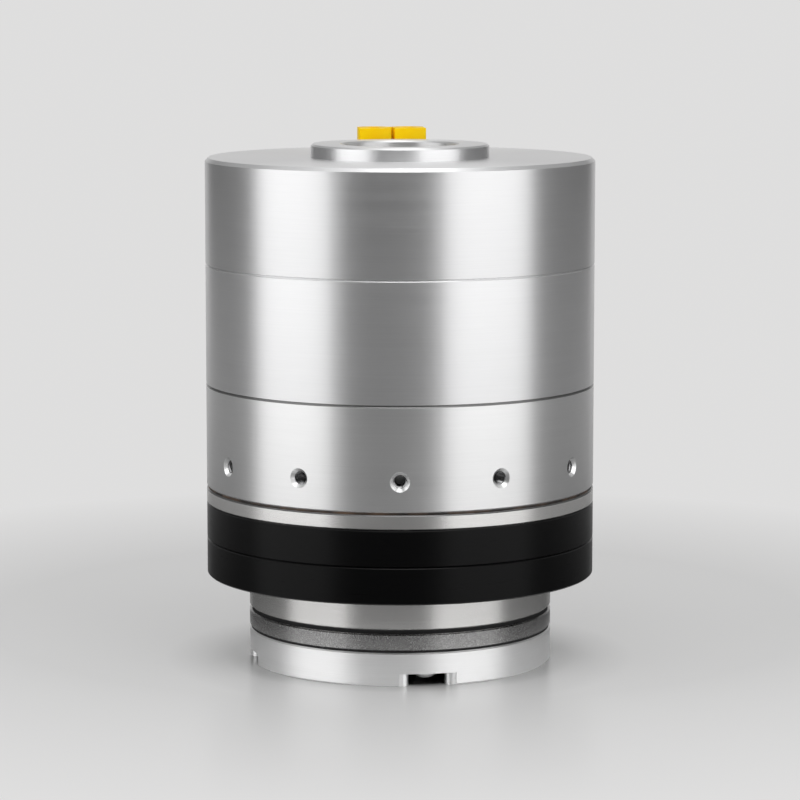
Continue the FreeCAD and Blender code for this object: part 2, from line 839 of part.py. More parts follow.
def cross_rollers():
    """Short rollers between the V races, each at right angles to the next."""
    rollers = []
    for k in range(roller_count):
        tilt = roller_tilt if k % 2 else -roller_tilt
        roller = Part.makeCylinder(roller_d / 2, roller_l, Vec(0, 0, -roller_l / 2))
        roller.rotate(Vec(), Vec(0, 1, 0), tilt)
        roller.translate(Vec(roller_pitch_r, 0, z_split))
        rollers.append(turn(roller, 360.0 * k / roller_count))
    return group(rollers)


def gear_gasket():
    body = ring(body_r - edge, flex_boss_r, z_gear_gasket, z_gear)
    return body.cut(ring_screw_holes(clearance(m3), z_gear_gasket - past, z_gear + past))


# Gear-side housing, seal and brake

def side_hole():
    """Countersunk tapped hole in the wall, towards the front."""
    z = z_gear + side_hole_above
    inwards = Vec(0, 1, 0)
    sink = side_hole_sink_r - side_hole_r
    outside = 0.5
    mouth = Part.makeCone(side_hole_sink_r + outside, side_hole_r, sink + outside,
                          Vec(0, -body_r - outside, z), inwards)
    shank = Part.makeCylinder(side_hole_r, side_hole_depth, Vec(0, -body_r, z), inwards)
    return mouth.fuse(shank)


def gear_side_housing():
    seat_z = z_gear + seal_lip
    spigot_floor = z_motor - housing_spigot_h - spigot_floor_gap
    bore_r = housing_spigot_r + fit_gap
    body = turned(
        (seal_lip_r, z_gear), (body_r - edge, z_gear), (body_r, z_gear + edge),
        (body_r, z_motor - edge), (body_r - edge, z_motor), (bore_r, z_motor),
        (bore_r, spigot_floor), (gear_cavity_r, spigot_floor), (gear_cavity_r, z_web),
        (seal_r + fit_gap, z_web), (seal_r + fit_gap, seat_z), (seal_lip_r, seat_z),
    )
    ring_tip = z_outer + ring_screw_sink + m3[2] + ring_screw_l + ring_screw_room
    housing_tip = housing_screw_seat() - housing_screw_l
    brake_tip = z_brake_plate_top - brake_screw_l
    upright = ring_screw_holes(thread(m3), z_gear - past, ring_tip)
    upright += housing_screw_holes(thread(m3), housing_tip - screw_room, z_motor + past)
    upright += brake_holes(thread(m25), brake_tip - screw_room, z_web + past)
    return body.cut(upright).cut(around(side_hole(), side_hole_count))


def shaft_seal():
    """Lip seal round the shaft, with a sprung lip towards the gear."""
    z0 = z_gear + seal_lip
    z1 = z0 + seal_w
    touch_r = shaft_mid_r + seal_touch
    back_r = touch_r + seal_skin
    case_r = seal_r - seal_case
    low, high, root = [z0 + z for z in seal_edge_z]
    return turned(
        (touch_r, low), (touch_r + seal_bevel, z0), (seal_r, z0), (seal_r, z1), (back_r, z1),
        (back_r, z1 - seal_bevel), (case_r, z1 - seal_bevel), (case_r, z0 + seal_skin),
        (back_r, z0 + seal_skin), (back_r, root), (touch_r, high),
    )


def brake_holes(r, z0, z1):
    return around(hole(r, brake_screw_pitch_r, z0, z1), brake_screw_count, brake_screw_angle)


def spring_holes(r, z0, z1):
    return around(hole(r, brake_spring_pitch_r, z0, z1), brake_spring_count, brake_spring_angle)


def brake_magnet_body():
    body = turned(
        (brake_in_r, z_web), (brake_out_r, z_web), (brake_out_r, z_brake_face),
        (brake_slot_out, z_brake_face), (brake_slot_out, z_web + brake_slot_floor),
        (brake_slot_in, z_web + brake_slot_floor), (brake_slot_in, z_brake_face),
        (brake_in_r, z_brake_face),
    )
    cuts = brake_holes(clearance(m25), z_web - past, z_brake_face + past)
    cuts += spring_holes(brake_spring_r + fit_gap, z_brake_face - brake_spring_depth, z_brake_face + past)
    return body.cut(cuts)


def brake_coil():
    gap = drill_gap
    z0 = z_web + brake_slot_floor
    return ring(brake_slot_out - gap, brake_slot_in + gap, z0, z_brake_face - 2 * gap)


def brake_springs():
    """Springs that push the armature onto the disc, drawn as plain sleeves."""
    z0 = z_brake_face - brake_spring_depth
    outer = hole(brake_spring_r, brake_spring_pitch_r, z0, z_armature)
    inner = hole(brake_spring_r - brake_spring_wire, brake_spring_pitch_r, z0 - past, z_armature + past)
    return group(around(outer.cut(inner), brake_spring_count, brake_spring_angle))


def brake_armature():
    """Plate that the coil pulls off the disc, guided by the sleeves."""
    body = ring(brake_out_r, brake_in_r, z_armature, z_armature + armature_t)
    return body.cut(brake_holes(brake_sleeve_r + run_gap, z_armature - past, z_brake_disc + past))


def brake_disc():
    """Friction disc with a hexagonal hole that slides on its hub."""
    bore = prism(polygon(brake_hub_corner_r + drill_gap, 6), z_brake_disc - past, z_brake_plate + past)
    return disc(brake_disc_r, z_brake_disc, z_brake_disc + brake_disc_t).cut(bore)


def brake_hub():
    body = prism(polygon(brake_hub_corner_r, 6), z_brake_hub, z_brake_hub_top)
    return body.cut(disc(bearing_bore_r + fit_gap, z_brake_hub - past, z_brake_hub_top + past))


def brake_pressure_plate():
    body = ring(brake_out_r, brake_in_r, z_brake_plate, z_brake_plate_top)
    return body.cut(brake_holes(clearance(m25), z_brake_plate - past, z_brake_plate_top + past))


def brake_sleeves():
    outer = hole(brake_sleeve_r, brake_screw_pitch_r, z_brake_face, z_brake_plate)
    inner = hole(clearance(m25), brake_screw_pitch_r, z_brake_face - past, z_brake_plate + past)
    return group(around(outer.cut(inner), brake_screw_count, brake_screw_angle))


def brake_screws():
    screw = put(cap_screw(m25, brake_screw_l), brake_screw_pitch_r, z_brake_plate_top, down=True)
    return group(around(screw, brake_screw_count, brake_screw_angle))


# Motor

def motor_shaft():
    """Hollow shaft that carries the wave generator, brake, rotor and motor disc."""
    groove_r = bearing_bore_r - clip_depth
    return turned(
        (shaft_bore_r, front_bearing_z), (bearing_bore_r, front_bearing_z),
        (bearing_bore_r, z_wave_top), (shaft_mid_r, z_wave_top), (shaft_mid_r, z_brake_hub),
        (bearing_bore_r, z_brake_hub), (bearing_bore_r, z_clip), (groove_r, z_clip),
        (groove_r, z_motor_disc), (bearing_bore_r, z_motor_disc), (bearing_bore_r, z_shaft_top),
        (shaft_bore_r, z_shaft_top),
    )


def rotor_hub():
    bore = bearing_bore_r + fit_gap
    yoke_in = yoke_r - yoke_t
    web_z0 = z_stator + (stator_h - rotor_web_t) / 2
    web_z1 = web_z0 + rotor_web_t
    body = turned(
        (bore, z_brake_hub_top), (rotor_sleeve_r, z_brake_hub_top), (rotor_sleeve_r, web_z0),
        (yoke_in, web_z0), (yoke_in, z_stator), (yoke_r, z_stator), (yoke_r, z_stator_top),
        (yoke_in, z_stator_top), (yoke_in, web_z1), (rotor_sleeve_r, web_z1),
        (rotor_sleeve_r, z_rear_bearing), (bore, z_rear_bearing),
    )
    middle = (rotor_sleeve_r + yoke_in) / 2
    return body.cut(around(hole(rotor_hole_r, middle, web_z0 - past, web_z1 + past), rotor_hole_count))


def rotor_magnets():
    """Curved magnets round the rotor, one to a pole."""
    in_r = yoke_r + fit_gap
    width = 360.0 / magnet_poles * magnet_fill
    plan = flat((in_r, 0, z_stator), (magnet_out_r, 0, z_stator),
                (magnet_out_r, 0, z_stator_top), (in_r, 0, z_stator_top))
    return group(around(plan.revolve(Vec(), AXIS, width), magnet_poles, -width / 2))


def stator_core():
    """Laminated ring with straight teeth and widened tips round the rotor."""
    half_step = math.pi / slot_count

    def beside_tooth(s, side):
        """Point beside the next tooth, at a distance s along that tooth."""
        x = s * math.cos(half_step) + tooth_half_w * math.sin(half_step)
        y = s * math.sin(half_step) - tooth_half_w * math.cos(half_step)
        return x, side * y

    tip_r = stator_in_r + slot_tip_h
    floor_r = stator_r - stator_yoke
    half_open = slot_open_w / 2
    plan = [
        (stator_in_r - past, -half_open), (tip_r, -half_open), beside_tooth(tip_r, -1),
        beside_tooth(floor_r, -1), beside_tooth(floor_r, 1), beside_tooth(tip_r, 1),
        (tip_r, half_open), (stator_in_r - past, half_open),
    ]
    slot = prism(plan, z_stator - past, z_stator_top + past)
    body = ring(stator_r, stator_in_r, z_stator, z_stator_top)
    return body.cut(around(slot, slot_count, 180.0 / slot_count))


def rounded_plate(half_w, z0, z1, corner, x0, x1):
    """Slab with rounded corners in the plane across the tooth, from x0 to x1."""
    slab = block(x0, x1, -half_w, half_w, z0, z1)
    long_edges = [e for e in slab.Edges if abs(e.Vertexes[0].X - e.Vertexes[-1].X) > 1e-6]
    return slab.makeFillet(corner, long_edges)


def stator_coils():
    """One wound coil round each tooth."""
    z0 = z_stator - coil_overhang
    z1 = z_stator_top + coil_overhang
    outer = rounded_plate(coil_half_w, z0, z1, coil_round, coil_in_r, coil_out_r)
    half_in = tooth_half_w + coil_gap
    window = block(coil_in_r - past, coil_out_r + past, -half_in, half_in,
                   z_stator - coil_gap, z_stator_top + coil_gap)
    return group(around(outer.cut(window), slot_count))


def phase_leads():
    top = z_stator_top + coil_overhang
    return group(around(hole(lead_r, lead_pitch_r, top, z_driver_board), lead_count))


def housing_screw_seat():
    """Level of the heads' bearing faces, in counterbores from the motor housing's top."""
    return z_cover - m3[2] - housing_screw_sink


def housing_screw_holes(r, z0, z1):
    return around(hole(r, housing_screw_pitch_r, z0, z1), housing_screw_count)


def motor_housing():
    spigot_z = z_motor - housing_spigot_h
    bore_r = stator_r + fit_gap
    body = turned(
        (housing_step_r, spigot_z), (housing_spigot_r, spigot_z), (housing_spigot_r, z_motor),
        (body_r - edge, z_motor), (body_r, z_motor + edge), (body_r, z_cover - edge),
        (body_r - edge, z_cover), (bore_r, z_cover), (bore_r, z_stator), (housing_step_r, z_stator),
    )
    cuts = housing_screw_holes(clearance(m3), spigot_z - past, z_cover)
    cuts += housing_screw_holes(m3[1] + head_gap, housing_screw_seat(), z_cover + past)
    cuts += plate_screw_holes(thread(m25), z_plate_top - plate_screw_l - screw_room, z_cover + past)
    return body.cut(cuts)


def housing_screws():
    seat = housing_screw_seat()
    screw = put(cap_screw(m3, housing_screw_l), housing_screw_pitch_r, seat, down=True)
    return group(around(screw, housing_screw_count))


# Rear bearing plate, cover and hub

def plate_screw_holes(r, z0, z1):
    first = 180.0 / plate_screw_count
    return around(hole(r, plate_screw_pitch_r, z0, z1), plate_screw_count, first)


def rear_bearing_plate():
    """Plate over the motor; the cover is screwed onto its rim."""
    seat_r = bearing_out_r + fit_gap
    rim_r = cover_in_r - fit_gap
    spigot_z = z_cover - plate_spigot_h
    spigot_in = stator_r - plate_spigot_w
    body = turned(
        (plate_lip_r, z_cover), (spigot_in, z_cover), (spigot_in, spigot_z), (stator_r, spigot_z),
        (stator_r, z_cover), (rim_r, z_cover), (rim_r, z_plate_top), (bearing_boss_r, z_plate_top),
        (bearing_boss_r, z_clip), (seat_r, z_clip), (seat_r, z_rear_bearing),
        (plate_lip_r, z_rear_bearing),
    )
    cuts = plate_screw_holes(clearance(m25), z_cover - past, z_plate_top + past)
    cuts += around(hole(lead_r + run_gap, lead_pitch_r, z_cover - past, z_plate_top + past), lead_count)
    return body.cut(cuts)


def rear_plate_screws():
    screw = put(cap_screw(m25, plate_screw_l), plate_screw_pitch_r, z_plate_top, down=True)
    return group(around(screw, plate_screw_count, 180.0 / plate_screw_count))


def connector_place(shape):
    """Moves a shape from the pair's own corner frame to its place behind the hub."""
    copy = shape.copy()
    copy.rotate(Vec(), AXIS, connector_turn)
    copy.translate(Vec(connector_x, connector_y, 0))
    return copy


def connector_lefts():
    """Left edges of the two connector bodies, from the middle of the pair."""
    return [-connector_gap / 2 - connector_w, connector_gap / 2]


def rear_cover():
    body = turned(
        (cover_in_r, z_cover), (body_r - edge, z_cover), (body_r, z_cover + edge),
        (body_r, z_top - rim_chamfer), (body_r - rim_chamfer, z_top), (hub_spigot_r, z_top),
        (hub_spigot_r, z_cover_under), (cover_in_r, z_cover_under),
    )
    reach = connector_gap / 2 + connector_w + connector_window_gap
    window = block(-reach, reach, -connector_window_gap, connector_d + connector_window_gap,
                   z_cover_under - past, z_top + past)
    cuts = [connector_place(window)]
    cuts += hub_screw_holes(clearance(m2), z_cover_under - past, z_top + past)
    return body.cut(cuts)


def hub_screw_holes(r, z0, z1):
    return around(hole(r, hub_screw_pitch_r, z0, z1), hub_screw_count, 180.0 / hub_screw_count)


def hub_cap():
    spigot = hub_spigot_r - fit_gap
    body = turned(
        (hub_bore_r, z_cover_under), (spigot, z_cover_under), (spigot, z_top), (hub_r, z_top),
        (hub_r, z_hub - hub_chamfer), (hub_r - hub_chamfer, z_hub), (hub_bore_r + hub_chamfer, z_hub),
        (hub_bore_r, z_hub - hub_chamfer),
    )
    return body.cut(hub_screw_holes(thread(m2), z_top - past, z_cover_under + hub_screw_l + hub_screw_room))


def hub_screws():
    screw = put(cap_screw(m2, hub_screw_l), hub_screw_pitch_r, z_cover_under)
    return group(around(screw, hub_screw_count, 180.0 / hub_screw_count))


def tube_bush():
    z0 = z_cover_under + bush_above
    return ring(hub_bore_r - fit_gap, tube_r + run_gap, z0, z0 + bush_h)


# Position sensing and electronics

def shaft_clip():
    """Open retaining ring in the shaft's groove."""
    body = ring(clip_r, bearing_bore_r - clip_depth + fit_gap, z_clip, z_motor_disc)
    half = clip_opening / 2
    return body.cut(block(0, clip_r + past, -half, half, z_clip - past, z_motor_disc + past))


def motor_encoder_disc():
    return ring(motor_disc_r, bearing_bore_r + fit_gap, z_motor_disc, z_motor_disc + disc_t)


def output_encoder_disc():
    return ring(output_disc_r, tube_r + fit_gap, z_output_disc, z_output_disc + disc_t)


def encoder_head(z0, z1):
    half = encoder_head_w / 2
    at = encoder_head_pitch_r
    return block(at - half, at + half, -half, half, z0, z1)


def encoder_board():
    """Ring board with a read head towards each encoder disc."""
    z1 = z_encoder_board + board_t
    board = ring(encoder_board_r, board_bore_r, z_encoder_board, z1)
    heads = [encoder_head(z_encoder_board - encoder_head_h, z_encoder_board),
             turn(encoder_head(z1, z1 + encoder_head_h), output_head_angle)]
    return group([board] + heads)


def posts(r, pitch_r, z0, z1):
    return around(hole(r, pitch_r, z0, z1), post_count, post_angle)


def board_standoffs():
    low = posts(encoder_post_r, encoder_post_pitch_r, z_plate_top, z_encoder_board)
    tall = posts(driver_post_r, driver_post_pitch_r, z_plate_top, z_driver_board)
    return group(low + tall)


def driver_board():
    """Ring board with its power transistors."""
    board = ring(driver_board_r, board_bore_r, z_driver_board, z_driver_top)
    half = chip_w / 2
    chip = block(chip_pitch_r - half, chip_pitch_r + half, -half, half,
                 z_driver_top, z_driver_top + chip_h)
    first = chip_angle - chip_step * (chip_count - 1) / 2
    spread = [turn(chip, first + chip_step * k) for k in range(chip_count)]
    return group([board] + spread)


def capacitors():
    z0 = z_driver_board - capacitor_h
    can = hole(capacitor_r, capacitor_pitch_r, z0, z_driver_board)
    return group(around(can, capacitor_count, capacitor_angle))


def power_connectors():
    """Two-pole bodies with bevelled rear corners and a round well for each contact."""
    z1 = z_top + connector_top
    bodies = []
    for left in connector_lefts():
        right = left + connector_w
        plan = [(left, 0), (right, 0), (right, connector_d - connector_chamfer),
                (right - connector_chamfer, connector_d), (left + connector_chamfer, connector_d),
                (left, connector_d - connector_chamfer)]
        wells = [disc(socket_r, z1 - socket_depth, z1 + past, x, y) for x, y in socket_places(left)]
        bodies.append(connector_place(prism(plan, z_driver_top, z1).cut(wells)))
    return group(bodies)


def socket_places(left):
    middle = connector_d / 2
    return [(left + connector_w / 2, middle + side * socket_pitch / 2) for side in (-1, 1)]


def connector_pins():
    top = z_top + connector_top
    pins = []
    for left in connector_lefts():
        for x, y in socket_places(left):
            pins.append(connector_place(disc(pin_r, top - socket_depth, top - pin_short, x, y)))
    return group(pins)


NODES = {
    "hub_cap": hub_cap,
    "rear_cover": rear_cover,
    "motor_housing": motor_housing,
    "gear_side_housing": gear_side_housing,
    "gear_gasket": gear_gasket,
    "flexspline": flexspline,
    "bearing_outer_ring_upper": bearing_outer_ring_upper,
    "bearing_outer_ring_lower": bearing_outer_ring_lower,
    "outer_ring_screws": outer_ring_screws,
    "housing_screws": housing_screws,
    "shaft_seal": shaft_seal,
    "brake_magnet_body": brake_magnet_body,
    "brake_coil": brake_coil,
    "brake_springs": brake_springs,
    "brake_sleeves": brake_sleeves,
    "brake_pressure_plate": brake_pressure_plate,
    "brake_screws": brake_screws,
    "stator_core": stator_core,
    "stator_coils": stator_coils,
    "phase_leads": phase_leads,
    "rear_bearing_plate": rear_bearing_plate,
    "rear_plate_screws": rear_plate_screws,
    "rear_bearing_outer_ring": lambda: bearing_outer(z_rear_bearing),
    "board_standoffs": board_standoffs,
    "encoder_board": encoder_board,
    "driver_board": driver_board,
    "capacitors": capacitors,
    "power_connectors": power_connectors,
    "connector_pins": connector_pins,
    "tube_bush": tube_bush,
    "hub_screws": hub_screws,
    "output_flange": output_flange,
    "flange_gasket": flange_gasket,
    "circular_spline": circular_spline,
    "spline_seal": spline_seal,
    "bearing_inner_ring": bearing_inner_ring,
    "notch_screws": notch_screws,
    "spline_screws": spline_screws,
    "output_tube": output_tube,
    "output_tube_screws": output_tube_screws,
    "output_encoder_disc": output_encoder_disc,
    "front_bearing_outer_ring": lambda: bearing_outer(front_bearing_z),
    "motor_shaft": motor_shaft,
    "wave_generator_plug": wave_generator_plug,
    "flex_bearing_inner_race": flex_bearing_inner_race,
    "flex_bearing_balls": flex_bearing_balls,
    "flex_bearing_outer_race": flex_bearing_outer_race,
    "front_bearing_inner_ring": lambda: bearing_inner(front_bearing_z),
    "rear_bearing_inner_ring": lambda: bearing_inner(z_rear_bearing),
    "brake_hub": brake_hub,
    "brake_disc": brake_disc,
    "rotor_hub": rotor_hub,
    "rotor_magnets": rotor_magnets,
    "shaft_clip": shaft_clip,
    "motor_encoder_disc": motor_encoder_disc,
    "cross_rollers": cross_rollers,
    "front_bearing_balls": lambda: bearing_balls(front_bearing_z),
    "rear_bearing_balls": lambda: bearing_balls(z_rear_bearing),
    "brake_armature": brake_armature,
}

os.makedirs("parts", exist_ok=True)
for name, make in NODES.items():
    make().exportStep(f"parts/{name}.step")
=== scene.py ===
import math

import bpy
from mathutils import Matrix, Vector


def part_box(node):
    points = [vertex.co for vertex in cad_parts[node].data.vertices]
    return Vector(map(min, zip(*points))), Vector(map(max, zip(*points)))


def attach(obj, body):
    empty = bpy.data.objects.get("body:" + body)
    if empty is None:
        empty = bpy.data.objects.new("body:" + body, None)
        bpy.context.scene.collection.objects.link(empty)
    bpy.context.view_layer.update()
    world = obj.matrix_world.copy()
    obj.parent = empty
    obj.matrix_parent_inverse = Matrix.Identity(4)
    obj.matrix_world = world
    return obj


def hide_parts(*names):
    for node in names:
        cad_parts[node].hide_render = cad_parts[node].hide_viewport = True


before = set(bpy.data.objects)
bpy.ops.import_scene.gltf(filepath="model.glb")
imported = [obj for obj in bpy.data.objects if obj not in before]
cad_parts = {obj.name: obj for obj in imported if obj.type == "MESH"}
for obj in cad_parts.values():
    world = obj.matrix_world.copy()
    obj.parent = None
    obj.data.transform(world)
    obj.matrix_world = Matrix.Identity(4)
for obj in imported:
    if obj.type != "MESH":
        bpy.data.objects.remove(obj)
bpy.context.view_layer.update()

MM = 0.001
HOUSING = "housing"

# Camera: where the photograph was taken from, and its lens on a 36 mm sensor
camera_at = (0.0, -0.7758, 0.1624)
camera_down = 7.4915        # degrees below the horizon
camera_lens = 151.2
sensor_width = 36.0
clip_start = 0.01
clip_end = 20.0

# Lights: direction in degrees from the front, negative to the left, and degrees above the horizon
aim_at = Vector((0, 0, 60 * MM))
soft_lights = {
    "left_softbox": {"side": -64, "up": 12, "away": 0.62, "size": (0.60, 0.95), "power": 2.7},
    "right_softbox": {"side": 52, "up": 12, "away": 0.62, "size": (0.66, 0.95), "power": 2.85},
    "top_softbox": {"side": 0, "up": 87, "away": 0.75, "size": (0.7, 0.55), "power": 0.9},
    "front_softbox": {"side": 8, "up": 60, "away": 0.8, "size": (0.5, 0.45), "power": 1.7},
}

# World: the room that the metal reflects, and the pale background that the camera sees
room_level = 0.07           # the unlit side of the studio
ceiling_level = 0.43        # the pale ceiling above it, which comes lower at the back
ceiling_from = 0.40         # sine of the height above the horizon where the ceiling starts
ceiling_to = 0.72
ceiling_lean = 0.3          # how much of the way to the back counts as height
side_level = 0.045          # what the walls at the sides add
side_from = 0.6             # share of the way to the side where they start
side_to = 0.88
backdrop_level = 0.735
backdrop_tint = (1.0, 0.996, 0.994)

# Backdrop: a floor that bends up into a wall
floor_front = -0.36
floor_bend = 0.9
bend_r = 0.6
wall_top = 2.2
half_width = 0.59
bend_steps = 24

# Backdrop paper: the share of light that it sends back, by the distance from the object's axis,
# with a painted shadow under the foot, painted light close to it and painted shade further out
foot_r = 0.0355             # edge of the foot's contact face
foot_edge = 0.006
seen_albedo = 0.55          # for the camera
# painted shadow: the paper goes dark under the foot
painted_shadow_albedo = 0.05       # under the foot, where hardly any light comes in
painted_shadow_r = 0.0325
bounce_albedo = 0.5         # for all other light, far out
# painted light: paler paper near the foot gives the metal bright reflections and bounce light
painted_foot_bounce = 0.92          # the same close to foot_centre
foot_bounce_r = (0.048, 0.078)
foot_centre = (0.0, -0.012, 0.0)
# painted shade: darker paper where the steel rings reflect the floor
painted_ring_dark = 0.12          # the same between them, where the steel rings see the floor
ring_bounce_r = (0.17, 0.30)
paper_roughness = 0.27

# Glow that brings the paper to the backdrop's own level beyond the lamps' pool of light
glow_centre = (0.0, 0.05, 0.0)
glow_from = 0.05            # distance from glow_centre
glow_to = 0.20
near_glow = 0.35            # share of it close to the object, outside its foot
near_r = 0.055
metal_glow_from = 0.30      # distance from the axis, for what the metal reflects
metal_glow_to = 0.95

# Turning marks: noise drawn out round the axis, finer across it
fine_marks = {"across": 5500, "around": 2.5}
broad_marks = {"across": 420, "around": 1.4}
mark_depth = 0.004 * MM
fine_in_roughness = 0.8     # the broad marks have the rest
fine_in_colour = 0.75
mark_streak = 0.06          # how much darker the darkest marks are
facet_scale = 14.0          # slow waves round the axis
across_marks = 0.25         # turns of the tangent that lay the stretch across the marks
noise_low = 0.25            # nearly all values of a noise lie between these
noise_high = 0.75

# Ripples that stand for windings and stacked sheets, in radians per metre
spring_ripple = 9000        # coils 0.70 mm apart
sheet_ripple = 17950        # sheets 0.35 mm thick
wire_ripple = 12500         # layers of wire 0.50 mm apart
disc_lines = 256            # lines round the encoder disc

# Sockets of a Mix node set to colours
mix_share = 0
mix_first = 6
mix_second = 7
mix_result = 2

# Moulded power connectors: the same places as the solids, with softened edges
connector_w = 7.42 * MM
connector_d = 10.0 * MM
connector_gap = 0.9 * MM
connector_chamfer = 1.6 * MM
connector_at = (-1.65 * MM, 22.3 * MM, 0)
connector_turn = 5.2        # degrees
socket_r = 1.45 * MM
socket_pitch = 4.6 * MM
socket_depth = 7.5 * MM
socket_past = 1 * MM        # how far a cut runs out of the top
socket_sides = 48
moulded_edge = 0.22 * MM
moulded_steps = 3
moulded_angle = 35          # edges that turn by more degrees than this are softened
rib_reach = 0.85 * MM       # locating rib that closes the gap between the two bodies
rib_from = 7.0 * MM
rib_to = 8.2 * MM

# Sealing compound that fills the joint under the lower housing
bead_r = 44.62 * MM
bead_h = 0.22 * MM
bead_reach = 0.13 * MM
bead_reach_change = 0.09 * MM
bead_lift_change = 0.03 * MM
bead_lift_shift = 1.3       # radians by which the lift's waves are turned from the reach's
bead_waves = ((7, 0.30), (19, 0.27), (43, 0.23), (97, 0.20))     # waves round the axis, and their shares
bead_steps = 540
bead_sides = 10

# Painted shade in the recesses of the domed screws in the output flange: inside this radius and below this
# height
recess_r = 32.6 * MM
recess_top = 3.2 * MM
recess_edge = 0.4 * MM
recess_shade_level = 0.02

# Joints in the outer wall: painted shade on the bevels beside them, with some oil in the joint between the
# housings
bevel = 0.3 * MM
bevel_fade = 0.03 * MM
# grey levels of the painted shade on the bevels at the housing joint
bevel_shade_over = 0.50           # grey level above the upper joint
bevel_shade_under = 0.32          # below it
# grey level of the painted shade on the steel ring's bevel
ring_bevel_shade = 0.18     # on the steel ring under the gasket

# Threads in the tapped side holes, M3
thread_pitch = 0.5 * MM
thread_crest_r = 1.24 * MM
thread_crest_half = 0.07    # half widths are shares of the pitch
thread_root_half = 0.46
thread_root_sink = 0.02 * MM
thread_lead = 0.1 * MM      # how far it starts inside the countersink
thread_fade = 0.5           # turns over which it grows to its height
thread_steps = 24
hole_r = 1.5 * MM
hole_depth = 5.7 * MM
hole_sink = 0.75 * MM
hole_above = 6.9 * MM
hole_count = 12


def new_object(name, mesh):
    made = bpy.data.objects.new(name, mesh)
    bpy.context.collection.objects.link(made)
    return made


def mesh_of(name, points, faces, smooth=True):
    mesh = bpy.data.meshes.new(name)
    mesh.from_pydata(points, [], faces)
    mesh.update()
    for face in mesh.polygons:
        face.use_smooth = smooth
    return mesh


class Graph:
    """A node tree, with short names for what is built in it."""

    def __init__(self, owner):
        owner.use_nodes = True
        self.nodes = owner.node_tree.nodes
        self.links = owner.node_tree.links

    def put(self, value, socket):
        """Links another node's output to the socket, or sets a plain value on it."""
        if isinstance(value, bpy.types.NodeSocket):
            self.links.new(value, socket)
        else:
            socket.default_value = value

    def node(self, kind, inputs=None, **settings):
        made = self.nodes.new(kind)
        for key, value in settings.items():
            setattr(made, key, value)
        for key, value in (inputs or {}).items():
            self.put(value, made.inputs[key])
        return made

    def vector(self, operation, first, second=(0, 0, 0)):
        made = self.node("ShaderNodeVectorMath", {0: first, 1: second}, operation=operation)
        return made.outputs["Value" if operation in ("LENGTH", "DISTANCE") else "Vector"]

    def number(self, operation, first, second=0.0):
        return self.node("ShaderNodeMath", {0: first, 1: second}, operation=operation).outputs[0]

    def plus(self, first, second):
        return self.number("ADD", first, second)

    def times(self, first, *others):
        for other in others:
            first = self.number("MULTIPLY", first, other)
        return first

    def blend(self, first, share, second):
        """A share of the first value, and the rest of the second."""
        return self.plus(self.times(first, share), self.times(second, 1 - share))

    def spread(self, value, low, high, start=0.0, end=1.0):
        """The value from start to end laid out from low to high."""
        inputs = {"Value": value, "From Min": start, "From Max": end, "To Min": low, "To Max": high}
        return self.node("ShaderNodeMapRange", inputs).outputs[0]


